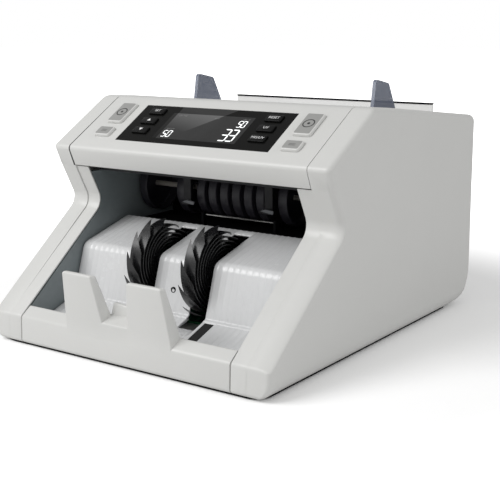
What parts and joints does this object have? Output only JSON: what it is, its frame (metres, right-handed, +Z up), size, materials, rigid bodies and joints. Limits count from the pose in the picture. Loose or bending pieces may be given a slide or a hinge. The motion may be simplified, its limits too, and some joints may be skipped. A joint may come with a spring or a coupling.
{
  "type": "banknote counter",
  "caption": "Desktop banknote counter: note hopper on top, sloping control panel, stacker pocket with finned wheels and a forked note fence in front.",
  "frame": {"origin": "centre of the bounding box at the bottom, on the plane of the rubber feet", "axes": "+Z up, +Y to the back of the machine (its longest extent), +X to the right of someone in front of it"},
  "size_m": [0.25, 0.2992, 0.1864],
  "materials": {
    "housing_white": "fine satin grain",
    "pocket_white": "glossy",
    "wall_grey": "satin",
    "black_plastic": "satin",
    "drum_charcoal": "matt",
    "black_rubber": "matt",
    "panel_black": "smooth gloss",
    "screen": "dark glossy cover",
    "key_black": "satin",
    "button_grey": "satin",
    "smoke_blue": "translucent, smooth",
    "steel": "ground",
    "zinc_sheet": "plain sheet",
    "board_green": "lacquered board",
    "belt_black": "matt"
  },
  "bodies": {
    "housing": {"base_pan": "housing_white", "left_side_panel": "housing_white", "right_side_panel": "housing_white", "left_inner_wall": "wall_grey", "right_inner_wall": "wall_grey", "left_chassis_plate": "zinc_sheet", "right_chassis_plate": "zinc_sheet", "hood": "housing_white", "display_panel": "panel_black", "lcd_screen": "screen", "key_board": "board_green", "front_cover": "housing_white", "stacker_deck": "pocket_white", "pocket_floor": "pocket_white", "floor_sensor_window": "panel_black", "upper_guide": "black_plastic", "rear_guide": "black_plastic", "guide_rod": "steel", "top_frame": "housing_white", "hopper_tray": "housing_white", "hopper_backrest": "housing_white", "motor": "zinc_sheet", "main_belt": "belt_black", "stacker_belt": "belt_black", "rear_cover": "housing_white", "inlet_socket": "black_plastic", "main_board": "board_green", "power_supply": "zinc_sheet", "front_left_foot": "black_rubber", "front_right_foot": "black_rubber", "rear_left_foot": "black_rubber", "rear_right_foot": "black_rubber"},
    "drum": {"transport_drum": "drum_charcoal", "drum_shaft": "steel", "left_inner_drum_disc": "drum_charcoal", "right_inner_drum_disc": "drum_charcoal", "left_outer_drum_disc": "drum_charcoal", "right_outer_drum_disc": "drum_charcoal"},
    "stacker": {"stacker_shaft": "steel", "left_stacker_wheel": "black_rubber", "right_stacker_wheel": "black_rubber"},
    "feed": {"feed_roller": "black_rubber"},
    "rotor": {"motor_shaft": "steel"},
    "left_guide": {"left_hopper_guide": "smoke_blue"},
    "right_guide": {"right_hopper_guide": "smoke_blue"},
    "pinion": {"guide_pinion": "black_plastic"},
    "rocker": {"power_switch": "black_plastic"},
    "left_lower_key_cap": {"left_lower_key": "key_black"},
    "left_middle_key_cap": {"left_middle_key": "key_black"},
    "left_upper_key_cap": {"left_upper_key": "key_black"},
    "left_small_button_cap": {"left_small_button": "button_grey"},
    "left_large_button_cap": {"left_large_button": "button_grey"},
    "right_lower_key_cap": {"right_lower_key": "key_black"},
    "right_middle_key_cap": {"right_middle_key": "key_black"},
    "right_upper_key_cap": {"right_upper_key": "key_black"},
    "right_small_button_cap": {"right_small_button": "button_grey"},
    "right_large_button_cap": {"right_large_button": "button_grey"}
  },
  "joints": [
    {"name": "drum_spin", "type": "hinge", "parent": "housing", "child": "drum", "pos_m": [0, 0.00464, 0.1005], "axis": [1, 0, 0], "continuous": true},
    {"name": "stacker_spin", "type": "hinge", "parent": "housing", "child": "stacker", "pos_m": [0, -0.06586, 0.0525], "axis": [1, 0, 0], "continuous": true},
    {"name": "feed_spin", "type": "hinge", "parent": "housing", "child": "feed", "pos_m": [0, 0.03864, 0.1217], "axis": [1, 0, 0], "continuous": true},
    {"name": "motor_spin", "type": "hinge", "parent": "housing", "child": "rotor", "pos_m": [0, 0.06964, 0.045], "axis": [1, 0, 0], "continuous": true},
    {"name": "left_guide_slide", "type": "slide", "parent": "housing", "child": "left_guide", "axis": [1, 0, 0], "range_m": [-0.009, 0.0295]},
    {"name": "right_guide_slide", "type": "slide", "parent": "housing", "child": "right_guide", "axis": [-1, 0, 0], "range_m": [-0.009, 0.0295]},
    {"name": "pinion_spin", "type": "hinge", "parent": "housing", "child": "pinion", "pos_m": [0, 0.06314, 0.1275], "axis": [0, 0, 1], "range_deg": [-86, 282]},
    {"name": "left_lower_key_press", "type": "slide", "parent": "housing", "child": "left_lower_key_cap", "axis": [0, 0.5077, -0.8616], "range_m": [0, 0.0006], "stiffness_N_per_m": 600, "springref_m": -0.0005},
    {"name": "left_middle_key_press", "type": "slide", "parent": "housing", "child": "left_middle_key_cap", "axis": [0, 0.5077, -0.8616], "range_m": [0, 0.0006], "stiffness_N_per_m": 600, "springref_m": -0.0005},
    {"name": "left_upper_key_press", "type": "slide", "parent": "housing", "child": "left_upper_key_cap", "axis": [0, 0.5077, -0.8616], "range_m": [0, 0.0006], "stiffness_N_per_m": 600, "springref_m": -0.0005},
    {"name": "left_small_button_press", "type": "slide", "parent": "housing", "child": "left_small_button_cap", "axis": [0, 0.5077, -0.8616], "range_m": [0, 0.0008], "stiffness_N_per_m": 600, "springref_m": -0.0005},
    {"name": "left_large_button_press", "type": "slide", "parent": "housing", "child": "left_large_button_cap", "axis": [0, 0.5077, -0.8616], "range_m": [0, 0.0008], "stiffness_N_per_m": 600, "springref_m": -0.0005},
    {"name": "right_lower_key_press", "type": "slide", "parent": "housing", "child": "right_lower_key_cap", "axis": [0, 0.5077, -0.8616], "range_m": [0, 0.0006], "stiffness_N_per_m": 600, "springref_m": -0.0005},
    {"name": "right_middle_key_press", "type": "slide", "parent": "housing", "child": "right_middle_key_cap", "axis": [0, 0.5077, -0.8616], "range_m": [0, 0.0006], "stiffness_N_per_m": 600, "springref_m": -0.0005},
    {"name": "right_upper_key_press", "type": "slide", "parent": "housing", "child": "right_upper_key_cap", "axis": [0, 0.5077, -0.8616], "range_m": [0, 0.0006], "stiffness_N_per_m": 600, "springref_m": -0.0005},
    {"name": "right_small_button_press", "type": "slide", "parent": "housing", "child": "right_small_button_cap", "axis": [0, 0.5077, -0.8616], "range_m": [0, 0.0008], "stiffness_N_per_m": 600, "springref_m": -0.0005},
    {"name": "right_large_button_press", "type": "slide", "parent": "housing", "child": "right_large_button_cap", "axis": [0, 0.5077, -0.8616], "range_m": [0, 0.0008], "stiffness_N_per_m": 600, "springref_m": -0.0005},
    {"name": "power_rock", "type": "hinge", "parent": "housing", "child": "rocker", "pos_m": [-0.041, 0.14354, 0.078], "axis": [1, 0, 0], "range_deg": [0, 14]}
  ],
  "couplings": [
    {"joint": "stacker_spin", "follows": "drum_spin", "ratio": 0.5},
    {"joint": "feed_spin", "follows": "drum_spin", "ratio": 1.2},
    {"joint": "motor_spin", "follows": "drum_spin", "ratio": 2},
    {"joint": "right_guide_slide", "follows": "left_guide_slide", "ratio": 1},
    {"joint": "pinion_spin", "follows": "left_guide_slide", "rad_per_m": 166.67}
  ]
}
